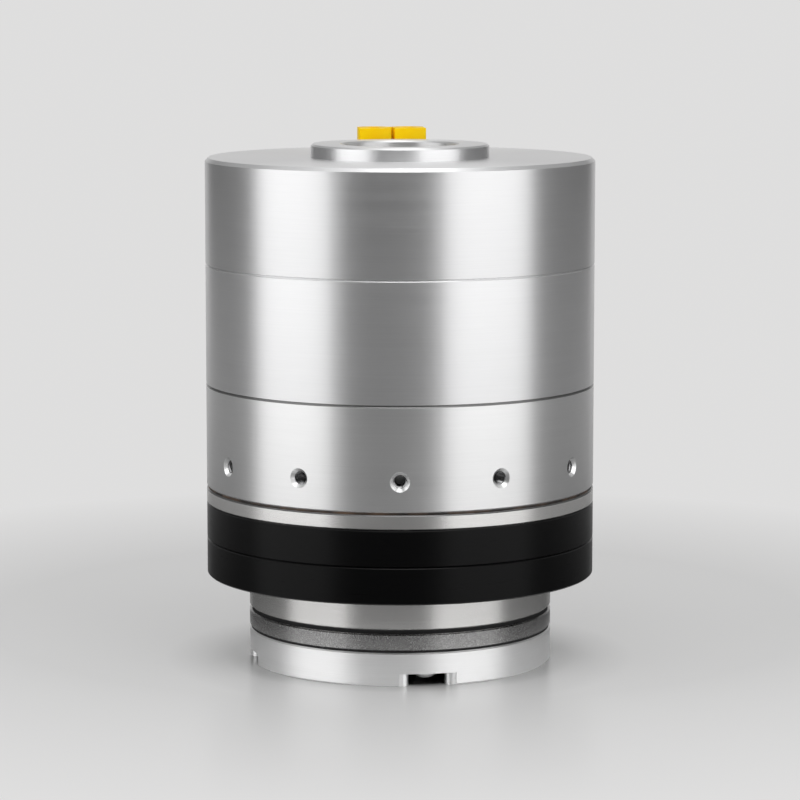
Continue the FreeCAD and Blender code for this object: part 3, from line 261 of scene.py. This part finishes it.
class Finish(Graph):
    """One procedural material: the shader's plain values, and nodes that vary it over the surface."""

    def __init__(self, name, colour, roughness, metallic=0.0, **plain):
        self.material = bpy.data.materials.new(name)
        super().__init__(self.material)
        self.shader = self.nodes["Principled BSDF"]
        self.shader.inputs["Base Color"].default_value = (*colour, 1)
        self.shader.inputs["Roughness"].default_value = roughness
        self.shader.inputs["Metallic"].default_value = metallic
        for key, value in plain.items():
            self.shader.inputs[key.replace("_", " ")].default_value = value
        self.colour = colour
        self.roughness = roughness
        self.normal = None
        self.place = self.node("ShaderNodeTexCoord").outputs["Object"]

    def noise(self, place, scale, detail=2.0, share=0.5):
        inputs = {"Vector": place, "Scale": scale, "Detail": detail, "Roughness": share}
        return self.node("ShaderNodeTexNoise", inputs).outputs["Fac"]

    def cells(self, place, scale):
        inputs = {"Vector": place, "Scale": scale}
        return self.node("ShaderNodeTexVoronoi", inputs).outputs["Distance"]

    def from_axis(self):
        return self.vector("MULTIPLY", self.place, (1, 1, 0))

    def way_out(self):
        return self.vector("NORMALIZE", self.from_axis())

    def radius(self):
        return self.vector("LENGTH", self.from_axis())

    def height(self):
        return self.node("ShaderNodeSeparateXYZ", {0: self.place}).outputs["Z"]

    def tool_marks(self, across, around):
        """Coordinates along which a texture is drawn out round the axis, as a lathe leaves it."""
        drawn = self.vector("MULTIPLY", self.way_out(), (around, around, around))
        feed = self.times(self.plus(self.height(), self.radius()), across)
        return self.vector("ADD", drawn, self.node("ShaderNodeCombineXYZ", {"Z": feed}).outputs[0])

    def stretch_across_marks(self, stretch):
        """Draws reflections out across marks that run round the axis."""
        tangent = self.node("ShaderNodeTangent", direction_type="RADIAL", axis="Z")
        self.links.new(tangent.outputs[0], self.shader.inputs["Tangent"])
        self.shader.inputs["Anisotropic"].default_value = stretch
        self.shader.inputs["Anisotropic Rotation"].default_value = across_marks

    def vary_roughness(self, value, change):
        spread = self.spread(value, self.roughness - change, self.roughness + change, noise_low, noise_high)
        self.links.new(spread, self.shader.inputs["Roughness"])

    def two_colours(self, value, first, second, start=0.0, end=1.0):
        """From the first colour, where the value is start, to the second, where it is end."""
        mix = self.node("ShaderNodeMix", data_type="RGBA")
        for colour, socket in ((first, mix.inputs[mix_first]), (second, mix.inputs[mix_second])):
            is_plain = not isinstance(colour, bpy.types.NodeSocket)
            self.put((*colour, 1) if is_plain else colour, socket)
        self.links.new(self.spread(value, 0, 1, start, end), mix.inputs[mix_share])
        self.links.new(mix.outputs[mix_result], self.shader.inputs["Base Color"])
        return mix.outputs[mix_result]

    def vary_colour(self, value, darkest, start=noise_low, end=noise_high):
        """Colour between its darkest share and itself."""
        self.two_colours(value, [c * darkest for c in self.colour], self.colour, start, end)

    def darken(self, share, level):
        """The colour so far, and where the share is 1 only a level of grey."""
        so_far = self.shader.inputs["Base Color"].links[0].from_socket
        self.two_colours(share, so_far, (level, level, level))

    def bump(self, value, depth):
        inputs = {"Height": value, "Distance": depth, "Strength": 1.0}
        if self.normal is not None:
            inputs["Normal"] = self.normal
        self.normal = self.node("ShaderNodeBump", inputs).outputs[0]
        self.links.new(self.normal, self.shader.inputs["Normal"])


def turned_metal(name, colour, roughness, stretch, wave, uneven=0.09):
    """Metal cut on a lathe: fine circular marks, which draw each reflection out across them."""
    finish = Finish(name, colour, roughness, metallic=1.0)
    finish.stretch_across_marks(stretch)
    fine = finish.noise(finish.tool_marks(**fine_marks), scale=1.0, detail=3.0, share=0.6)
    broad = finish.noise(finish.tool_marks(**broad_marks), scale=1.0)
    finish.vary_roughness(finish.blend(fine, fine_in_roughness, broad), change=roughness * uneven)
    finish.vary_colour(finish.blend(fine, fine_in_colour, broad), darkest=1 - mark_streak)
    finish.bump(fine, mark_depth)
    finish.bump(finish.noise(finish.way_out(), facet_scale), wave)
    return finish


def shade_bevel(finish, low, high, level):
    """Painted shade, with some oil, in a joint: grey of this level on the outer bevel between two heights.
    """
    outer_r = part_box("gear_side_housing")[1].x
    above = finish.spread(finish.height(), 0.0, 1.0, low - bevel_fade, low)
    below = finish.spread(finish.height(), 1.0, 0.0, high, high + bevel_fade)
    outside = finish.spread(finish.radius(), 0.0, 1.0, outer_r - bevel - bevel_fade, outer_r - bevel)
    # painted shade: the bevel goes to a plain grey level
    finish.darken(finish.times(above, below, outside), level)


def turned_aluminium():
    return turned_metal("turned_aluminium_finish", (0.81, 0.81, 0.815), roughness=0.38, stretch=0.66,
                        wave=0.010 * MM)


def middle_aluminium():
    """The motor housing, paler than the cover, with painted shade on the bevel at the joint below it."""
    finish = turned_metal("middle_aluminium_finish", (0.86, 0.86, 0.865), roughness=0.38, stretch=0.66,
                          wave=0.010 * MM)
    joint_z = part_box("gear_side_housing")[1].z
    shade_bevel(finish, joint_z, joint_z + bevel, bevel_shade_over)
    return finish


def satin_aluminium():
    """The lower housing, paler again, with painted shade on the bevel at the joint above it."""
    finish = turned_metal("satin_aluminium_finish", (0.92, 0.92, 0.92), roughness=0.37, stretch=0.64,
                          wave=0.012 * MM)
    joint_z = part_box("gear_side_housing")[1].z
    shade_bevel(finish, joint_z - bevel, joint_z, bevel_shade_under)
    return finish


def pale_aluminium():
    """The output flange: the palest of the turned parts, with painted shade in its screw recesses."""
    finish = turned_metal("pale_aluminium_finish", (0.93, 0.93, 0.93), roughness=0.40, stretch=0.5,
                          wave=0.010 * MM)
    inside = finish.spread(finish.radius(), 1.0, 0.0, recess_r, recess_r + recess_edge)
    low = finish.spread(finish.height(), 1.0, 0.0, recess_top, recess_top + recess_edge)
    # painted shade: the recesses go to a near-black grey
    finish.darken(finish.times(inside, low), recess_shade_level)
    return finish


def tapped_aluminium():
    """Walls of the tapped holes: dull from the tap, with a dark grey base colour that paints the shade deep
    inside them.
    """
    finish = Finish("tapped_aluminium_finish", (0.34, 0.34, 0.345), roughness=0.22, metallic=1.0)
    cloud = finish.noise(finish.place, scale=1800, detail=3.0)
    finish.vary_roughness(cloud, change=0.08)
    finish.vary_colour(cloud, darkest=0.6)
    return finish


def plain_aluminium():
    return turned_metal("plain_aluminium_finish", (0.74, 0.74, 0.745), roughness=0.40, stretch=0.7,
                        wave=0.010 * MM)


def bright_steel():
    return turned_metal("bright_steel_finish", (0.94, 0.93, 0.915), roughness=0.26, stretch=0.25,
                        wave=0.008 * MM, uneven=0.035)


def clamped_steel():
    """The flexible spline, with painted shade on the bevel under the gasket."""
    finish = turned_metal("clamped_steel_finish", (0.90, 0.89, 0.875), roughness=0.26, stretch=0.25,
                          wave=0.008 * MM, uneven=0.035)
    joint_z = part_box("gear_gasket")[0].z
    shade_bevel(finish, joint_z - bevel, joint_z, ring_bevel_shade)
    return finish


def shaft_steel():
    return turned_metal("shaft_steel_finish", (0.52, 0.52, 0.53), roughness=0.30, stretch=0.7,
                        wave=0.005 * MM)


def black_steel():
    """Blackened steel: nearly no colour, and a narrow sheen."""
    finish = Finish("black_steel_finish", (0.0004, 0.0004, 0.0006), roughness=0.29, Specular_IOR_Level=0.2)
    finish.stretch_across_marks(0.2)
    fine = finish.noise(finish.tool_marks(across=5000, around=3.0), scale=1.0, detail=3.0, share=0.6)
    finish.vary_roughness(fine, change=0.02)
    finish.vary_colour(fine, darkest=0.8)
    finish.bump(fine, depth=0.0015 * MM)
    return finish


def blasted_steel():
    """Grey bead-blasted steel, with the glints of its small craters."""
    finish = Finish("blasted_steel_finish", (0.66, 0.655, 0.65), roughness=0.25, metallic=1.0)
    grit = finish.noise(finish.place, scale=5200, share=0.7)
    finish.vary_roughness(grit, change=0.06)
    finish.vary_colour(grit, darkest=0.45, start=0.42, end=0.78)
    finish.bump(grit, depth=0.016 * MM)
    finish.bump(finish.cells(finish.place, scale=4200), depth=0.007 * MM)
    return finish


def ball_steel():
    finish = Finish("ball_steel_finish", (0.75, 0.75, 0.76), roughness=0.09, metallic=1.0)
    finish.vary_roughness(finish.noise(finish.place, scale=900), change=0.03)
    return finish


def screw_steel():
    finish = Finish("screw_steel_finish", (0.66, 0.66, 0.655), roughness=0.27, metallic=1.0)
    cloud = finish.noise(finish.place, scale=1400, detail=3.0)
    finish.vary_roughness(cloud, change=0.07)
    finish.vary_colour(cloud, darkest=0.86)
    finish.bump(cloud, depth=0.006 * MM)
    return finish


def polished_steel():
    """The domed screws in the notches."""
    finish = Finish("polished_steel_finish", (0.95, 0.95, 0.95), roughness=0.33, metallic=1.0)
    cloud = finish.noise(finish.place, scale=1400, detail=3.0)
    finish.vary_roughness(cloud, change=0.06)
    finish.vary_colour(cloud, darkest=0.88)
    return finish


def brake_iron():
    finish = Finish("brake_iron_finish", (0.19, 0.19, 0.195), roughness=0.55, metallic=0.8)
    grain = finish.noise(finish.place, scale=1900, detail=4.0, share=0.7)
    finish.vary_roughness(grain, change=0.1)
    finish.vary_colour(grain, darkest=0.7)
    finish.bump(grain, depth=0.015 * MM)
    return finish


def spring_steel():
    """Drawn as coils of wire by a fine ripple along the axis, with painted shade between the coils."""
    finish = Finish("spring_steel_finish", (0.45, 0.45, 0.46), roughness=0.3, metallic=1.0)
    coils = finish.number("SINE", finish.times(finish.height(), spring_ripple))
    finish.vary_colour(coils, darkest=0.25, start=-1.0, end=0.2)
    finish.bump(coils, depth=0.12 * MM)
    return finish


def lamination():
    """Stacked sheet: thin dark lines between the sheets' edges."""
    finish = Finish("lamination_finish", (0.2, 0.2, 0.21), roughness=0.5, metallic=0.9)
    sheets = finish.number("SINE", finish.times(finish.height(), sheet_ripple))
    finish.vary_colour(sheets, darkest=0.35, start=-1.0, end=-0.4)
    finish.bump(sheets, depth=0.02 * MM)
    finish.vary_roughness(finish.noise(finish.place, scale=700), change=0.08)
    return finish


def copper_wire():
    """Enamelled wire, wound in layers round each tooth, with painted shade between the layers."""
    finish = Finish("copper_wire_finish", (0.60, 0.22, 0.085), roughness=0.3, metallic=0.9,
                    Coat_Weight=0.5)
    wires = finish.number("SINE", finish.times(finish.radius(), wire_ripple))
    finish.vary_colour(wires, darkest=0.35, start=-1.0, end=0.0)
    finish.bump(wires, depth=0.12 * MM)
    return finish


def magnet():
    finish = Finish("magnet_finish", (0.62, 0.62, 0.63), roughness=0.2, metallic=1.0)
    cloud = finish.noise(finish.place, scale=350, detail=3.0)
    finish.vary_roughness(cloud, change=0.06)
    finish.bump(cloud, depth=0.01 * MM)
    return finish


def friction_lining():
    finish = Finish("friction_lining_finish", (0.055, 0.045, 0.04), roughness=0.85)
    grit = finish.noise(finish.place, scale=2600, detail=4.0, share=0.8)
    finish.two_colours(grit, (0.03, 0.026, 0.024), (0.16, 0.12, 0.07), start=0.45, end=0.8)
    finish.bump(grit, depth=0.05 * MM)
    return finish


def black_rubber():
    finish = Finish("black_rubber_finish", (0.008, 0.008, 0.0085), roughness=0.6, Specular_IOR_Level=0.3)
    skin = finish.noise(finish.place, scale=2500)
    finish.vary_roughness(skin, change=0.08)
    finish.bump(skin, depth=0.01 * MM)
    return finish


def brown_gasket():
    """Sealing compound in the joint: dark, with warmer places where it is thin."""
    finish = Finish("brown_gasket_finish", (0.08, 0.05, 0.035), roughness=0.5)
    patches = finish.noise(finish.tool_marks(across=300, around=9.0), scale=1.0, detail=3.0)
    finish.two_colours(patches, (0.020, 0.016, 0.014), (0.16, 0.10, 0.065), start=0.42, end=0.72)
    finish.bump(patches, depth=0.03 * MM)
    return finish


def lead_sleeve():
    finish = Finish("lead_sleeve_finish", (0.35, 0.02, 0.015), roughness=0.45)
    skin = finish.noise(finish.place, scale=1500)
    finish.vary_roughness(skin, change=0.06)
    finish.vary_colour(skin, darkest=0.85)
    return finish


def circuit_board():
    """Green board with a network of tracks and solder pads."""
    finish = Finish("circuit_board_finish", (0.012, 0.10, 0.035), roughness=0.35, Coat_Weight=0.4)
    tracks = finish.cells(finish.place, scale=520)
    board = finish.two_colours(tracks, (0.010, 0.075, 0.028), (0.025, 0.16, 0.06), start=0.42, end=0.5)
    pads = finish.cells(finish.place, scale=300)
    finish.two_colours(pads, (0.55, 0.5, 0.36), board, start=0.10, end=0.13)
    finish.bump(tracks, depth=0.02 * MM)
    return finish


def disc_glass():
    """Encoder disc: fine radial lines on a dark pane."""
    finish = Finish("disc_glass_finish", (0.05, 0.055, 0.06), roughness=0.12, Coat_Weight=0.6)
    split = finish.node("ShaderNodeSeparateXYZ", {0: finish.place}).outputs
    angle = finish.number("ARCTAN2", split["Y"], split["X"])
    lines = finish.number("SINE", finish.times(angle, disc_lines))
    finish.two_colours(lines, (0.02, 0.022, 0.025), (0.42, 0.43, 0.44), start=-0.1, end=0.1)
    return finish


def capacitor_can():
    """Dark sleeved can with a faint cloud."""
    finish = Finish("capacitor_can_finish", (0.05, 0.05, 0.055), roughness=0.35)
    cloud = finish.noise(finish.place, scale=800)
    finish.two_colours(cloud, (0.02, 0.02, 0.024), (0.07, 0.07, 0.08), start=0.3, end=0.7)
    finish.bump(cloud, depth=0.01 * MM)
    return finish


def yellow_plastic():
    """Moulded nylon with a faint grain."""
    finish = Finish("yellow_plastic_finish", (0.97, 0.60, 0.001), roughness=0.45, Subsurface_Weight=0.12,
                    Subsurface_Scale=0.6 * MM, Specular_IOR_Level=0.1)
    grain = finish.noise(finish.place, scale=2200, detail=3.0, share=0.6)
    cloud = finish.noise(finish.place, scale=260)
    finish.vary_roughness(grain, change=0.07)
    finish.two_colours(cloud, (0.97, 0.605, 0.0008), (1.0, 0.66, 0.002), start=0.3, end=0.7)
    finish.bump(grain, depth=0.012 * MM)
    return finish


def gold_contact():
    finish = Finish("gold_contact_finish", (0.85, 0.60, 0.25), roughness=0.22, metallic=1.0)
    finish.vary_roughness(finish.noise(finish.place, scale=1500), change=0.06)
    return finish


def bush_plastic():
    finish = Finish("bush_plastic_finish", (0.55, 0.54, 0.51), roughness=0.45)
    skin = finish.noise(finish.tool_marks(across=3500, around=4.0), scale=1.0)
    finish.vary_roughness(skin, change=0.08)
    finish.bump(skin, depth=0.01 * MM)
    return finish


# Finishes of the CAD material slots, which have the same names
SLOT_FINISHES = (
    turned_aluminium, plain_aluminium, black_steel, bright_steel, blasted_steel, shaft_steel, ball_steel,
    screw_steel, brake_iron, spring_steel, lamination, copper_wire, magnet, friction_lining, black_rubber,
    brown_gasket, lead_sleeve, circuit_board, disc_glass, capacitor_can, yellow_plastic, gold_contact,
    bush_plastic,
)
# Nodes with a finish of their own
NODE_FINISHES = {
    "motor_housing": middle_aluminium, "gear_side_housing": satin_aluminium,
    "output_flange": pale_aluminium, "notch_screws": polished_steel, "flexspline": clamped_steel,
}


def dress_nodes():
    """Every CAD node gets its own finish or the finish of its material slot."""
    by_slot = {make.__name__: make().material for make in SLOT_FINISHES}
    by_node = {name: make().material for name, make in NODE_FINISHES.items()}
    for name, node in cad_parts.items():
        for slot in node.material_slots:
            kind = slot.material.name.split(".")[0]
            slot.material = by_node.get(name, by_slot[kind])
    return by_slot


def thread_in_hole(place, first):
    """Points and faces of one hole's thread; its points are numbered from first."""
    profile = [(hole_r + thread_root_sink, -thread_root_half), (thread_crest_r, -thread_crest_half),
               (thread_crest_r, thread_crest_half), (hole_r + thread_root_sink, thread_root_half)]
    count = len(profile)
    start = hole_sink - thread_lead
    steps = round(((hole_depth - start) / thread_pitch - 1) * thread_steps)
    points = []
    for step in range(steps + 1):
        turns = step / thread_steps
        angle = 2 * math.pi * step / thread_steps
        grown = min(1.0, turns / thread_fade)
        depth = start + thread_pitch * (0.5 + turns)
        for r, along in profile:
            reach = hole_r + (r - hole_r) * grown if r < hole_r else r
            points.append(place @ Vector((reach * math.cos(angle), depth + along * thread_pitch,
                                          reach * math.sin(angle))))
    faces = []
    for step in range(steps):
        a = first + count * step
        b = a + count
        faces += [(a + k, a + (k + 1) % count, b + (k + 1) % count, b + k) for k in range(count)]
    last = first + count * steps
    faces += [tuple(first + k for k in reversed(range(count))), tuple(last + k for k in range(count))]
    return points, faces


def hole_threads(material):
    """The turns of thread inside the side holes, which the CAD leaves plain."""
    low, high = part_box("gear_side_housing")
    points = []
    faces = []
    for hole in range(hole_count):
        place = Matrix.Rotation(2 * math.pi * hole / hole_count, 4, "Z")
        place = place @ Matrix.Translation((0, -high.x, low.z + hole_above))
        more_points, more_faces = thread_in_hole(place, len(points))
        points += more_points
        faces += more_faces
    threads = new_object("side_hole_threads", mesh_of("side_hole_threads", points, faces, smooth=False))
    threads.data.materials.append(material)
    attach(threads, HOUSING)


def prism_mesh(name, outline, z0, z1):
    """A closed prism over a plan outline that runs counter-clockwise."""
    count = len(outline)
    points = [(x, y, z) for z in (z0, z1) for x, y in outline]
    faces = [(k, (k + 1) % count, count + (k + 1) % count, count + k) for k in range(count)]
    faces += [tuple(reversed(range(count))), tuple(range(count, 2 * count))]
    return mesh_of(name, points, faces, smooth=False)


def circle(x, y, r, sides):
    return [(x + r * math.cos(2 * math.pi * k / sides), y + r * math.sin(2 * math.pi * k / sides))
            for k in range(sides)]


def connector_outline(left, has_rib):
    """Plan of one connector body, with its rear corners cut off and the rib on its right side."""
    right = left + connector_w
    back = connector_d - connector_chamfer
    outline = [(left, 0), (right, 0)]
    if has_rib:
        tip = right + rib_reach
        outline += [(right, rib_from), (tip, rib_from), (tip, rib_to), (right, rib_to)]
    outline += [(right, back), (right - connector_chamfer, connector_d),
                (left + connector_chamfer, connector_d), (left, back)]
    return outline


def add_well(shell, x, y, top):
    """A modifier that cuts one round well into the shell; returns the cutter."""
    outline = circle(x, y, socket_r, socket_sides)
    cutter = new_object("well", prism_mesh("well", outline, top - socket_depth, top + socket_past))
    cut = shell.modifiers.new("well", "BOOLEAN")
    cut.object = cutter
    cut.operation = "DIFFERENCE"
    cut.solver = "EXACT"
    return cutter


def add_soft_edges(shell):
    soften = shell.modifiers.new("edges", "BEVEL")
    soften.width = moulded_edge
    soften.segments = moulded_steps
    soften.limit_method = "ANGLE"
    soften.angle_limit = math.radians(moulded_angle)
    soften.harden_normals = True


def work_in_modifiers(made):
    graph = bpy.context.evaluated_depsgraph_get()
    final = bpy.data.meshes.new_from_object(made.evaluated_get(graph))
    made.modifiers.clear()
    made.data = final


def connector_shell(name, left, has_rib, low, high, material):
    """One moulded body with its two wells and soft edges, in place of the CAD node."""
    shell = new_object(name, prism_mesh(name, connector_outline(left, has_rib), low, high))
    middle_x = left + connector_w / 2
    wells = [add_well(shell, middle_x, connector_d / 2 + end * socket_pitch / 2, high) for end in (-1, 1)]
    add_soft_edges(shell)
    work_in_modifiers(shell)
    for well in wells:
        bpy.data.objects.remove(well)
    for face in shell.data.polygons:
        face.use_smooth = True
    turn = Matrix.Rotation(math.radians(connector_turn), 4, "Z")
    shell.data.transform(Matrix.Translation(connector_at) @ turn)
    shell.data.materials.clear()
    shell.data.materials.append(material)
    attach(shell, HOUSING)
    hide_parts("power_connectors")


def power_connector_shells(material):
    low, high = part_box("power_connectors")
    half_gap = connector_gap / 2
    connector_shell("power_connector_left", -half_gap - connector_w, True, low.z, high.z, material)
    connector_shell("power_connector_right", half_gap, False, low.z, high.z, material)


def uneven_by(angle):
    """A smooth irregular value from -1 to 1 round the axis."""
    return sum(share * math.sin(waves * angle + waves * waves) for waves, share in bead_waves)


def gasket_bead(material):
    """Compound squeezed out of the joint by an uneven amount."""
    low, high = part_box("gear_gasket")
    middle = (low.z + high.z) / 2
    points = []
    for step in range(bead_steps):
        angle = 2 * math.pi * step / bead_steps
        reach = bead_reach + bead_reach_change * uneven_by(angle)
        lift = bead_lift_change * uneven_by(angle + bead_lift_shift)
        for k in range(bead_sides):
            turn = 2 * math.pi * k / bead_sides
            r = bead_r + reach * math.cos(turn)
            z = middle + lift + bead_h * math.sin(turn)
            points.append((r * math.cos(angle), r * math.sin(angle), z))
    faces = []
    for step in range(bead_steps):
        a = bead_sides * step
        b = bead_sides * ((step + 1) % bead_steps)
        faces += [(a + k, b + k, b + (k + 1) % bead_sides, a + (k + 1) % bead_sides)
                  for k in range(bead_sides)]
    bead = new_object("gasket_bead", mesh_of("gasket_bead", points, faces))
    bead.data.materials.append(material)
    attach(bead, HOUSING)


def backdrop_colour():
    return (*[backdrop_level * share for share in backdrop_tint], 1)


def paper_albedo(graph, camera, place, out):
    """Share of light the paper sends back: for the camera with a painted shadow under the foot, for all
    else with painted light near the foot and painted shade further out.
    """
    # painted shadow under the foot, for the camera
    seen = graph.spread(out, painted_shadow_albedo, seen_albedo, painted_shadow_r, foot_r)
    ahead = graph.vector("DISTANCE", place, foot_centre)
    # painted light near the foot and painted shade in the ring, for all other rays
    close = graph.spread(ahead, painted_foot_bounce, painted_ring_dark, *foot_bounce_r)
    distant = graph.spread(out, painted_ring_dark, bounce_albedo, *ring_bounce_r)
    return graph.spread(camera, graph.number("MAXIMUM", close, distant), seen)


def glow_share(graph, camera, metal, place, out):
    """Where the paper shows the backdrop's own level: to the camera round the object, to metal far out."""
    away = graph.vector("DISTANCE", place, glow_centre)
    near = graph.spread(out, 0.0, near_glow, foot_r, near_r)
    far = graph.number("MAXIMUM", near, graph.spread(away, 0.0, 1.0, glow_from, glow_to))
    outside = graph.spread(out, 0.0, 1.0, foot_r, foot_r + foot_edge)
    mirrored = graph.spread(out, 0.0, 1.0, metal_glow_from, metal_glow_to)
    return graph.plus(graph.times(camera, far, outside), graph.times(metal, mirrored))


def stage_material():
    """Pale paper: lit by the lamps near the object, and even where only the camera and metal see it."""
    material = bpy.data.materials.new("backdrop_paper")
    graph = Graph(material)
    graph.nodes.clear()
    path = graph.node("ShaderNodeLightPath").outputs
    camera = path["Is Camera Ray"]
    metal = graph.number("MAXIMUM", path["Is Glossy Ray"], path["Is Transmission Ray"])
    place = graph.node("ShaderNodeTexCoord").outputs["Object"]
    out = graph.vector("LENGTH", place)
    sheen = {"Base Color": paper_albedo(graph, camera, place, out), "Roughness": paper_roughness}
    paper = graph.node("ShaderNodeBsdfPrincipled", sheen).outputs[0]
    glow = graph.node("ShaderNodeEmission", {"Color": backdrop_colour()}).outputs[0]
    share = glow_share(graph, camera, metal, place, out)
    mix = graph.node("ShaderNodeMixShader", {0: share, 1: paper, 2: glow}).outputs[0]
    graph.node("ShaderNodeOutputMaterial", {0: mix})
    return material


def make_backdrop():
    profile = [(floor_front, 0.0), (0.0, 0.0)]
    for step in range(bend_steps + 1):
        angle = math.pi / 2 * step / bend_steps
        profile.append((floor_bend + bend_r * math.sin(angle), bend_r * (1 - math.cos(angle))))
    profile.append((floor_bend + bend_r, wall_top))
    points = [(side * half_width, y, z) for y, z in profile for side in (-1, 1)]
    faces = [(2 * k, 2 * k + 1, 2 * k + 3, 2 * k + 2) for k in range(len(profile) - 1)]
    backdrop = new_object("backdrop", mesh_of("backdrop", points, faces))
    backdrop.data.materials.append(stage_material())


def make_lights():
    for name, light in soft_lights.items():
        data = bpy.data.lights.new(name, "AREA")
        data.shape = "RECTANGLE"
        data.size, data.size_y = light["size"]
        data.energy = light["power"]
        lamp = new_object(name, data)
        side = math.radians(light["side"])
        up = math.radians(light["up"])
        way = Vector((math.sin(side) * math.cos(up), -math.cos(side) * math.cos(up), math.sin(up)))
        lamp.location = aim_at + way * light["away"]
        lamp.rotation_euler = way.to_track_quat("Z", "Y").to_euler()


def make_world():
    """A dim room with a pale ceiling to the object, and the backdrop's level to the camera."""
    world = bpy.data.worlds.new("studio")
    bpy.context.scene.world = world
    graph = Graph(world)
    way = graph.node("ShaderNodeTexCoord").outputs["Generated"]
    split = graph.node("ShaderNodeSeparateXYZ", {0: way}).outputs
    height = graph.plus(split["Z"], graph.times(split["Y"], ceiling_lean))
    ceiling = graph.spread(height, room_level, ceiling_level, ceiling_from, ceiling_to)
    aside = graph.number("ABSOLUTE", split["X"])
    level = graph.plus(ceiling, graph.spread(aside, 0.0, side_level, side_from, side_to))
    room = graph.nodes["Background"]
    graph.links.new(level, room.inputs["Color"])
    pale = graph.node("ShaderNodeBackground", {"Color": backdrop_colour()}).outputs[0]
    seen = graph.node("ShaderNodeLightPath").outputs["Is Camera Ray"]
    mix = graph.node("ShaderNodeMixShader", {0: seen, 1: room.outputs[0], 2: pale}).outputs[0]
    graph.links.new(mix, graph.nodes["World Output"].inputs["Surface"])


def make_camera():
    data = bpy.data.cameras.new("camera")
    data.sensor_width = sensor_width
    data.lens = camera_lens
    data.clip_start = clip_start
    data.clip_end = clip_end
    camera = new_object("camera", data)
    camera.location = camera_at
    camera.rotation_euler = (math.radians(90 - camera_down), 0, 0)
    bpy.context.scene.camera = camera


make_camera()
make_lights()
make_world()
make_backdrop()
finishes = dress_nodes()
hole_threads(tapped_aluminium().material)
power_connector_shells(finishes["yellow_plastic"])
gasket_bead(finishes["brown_gasket"])
bpy.context.scene.view_settings.view_transform = "Standard"
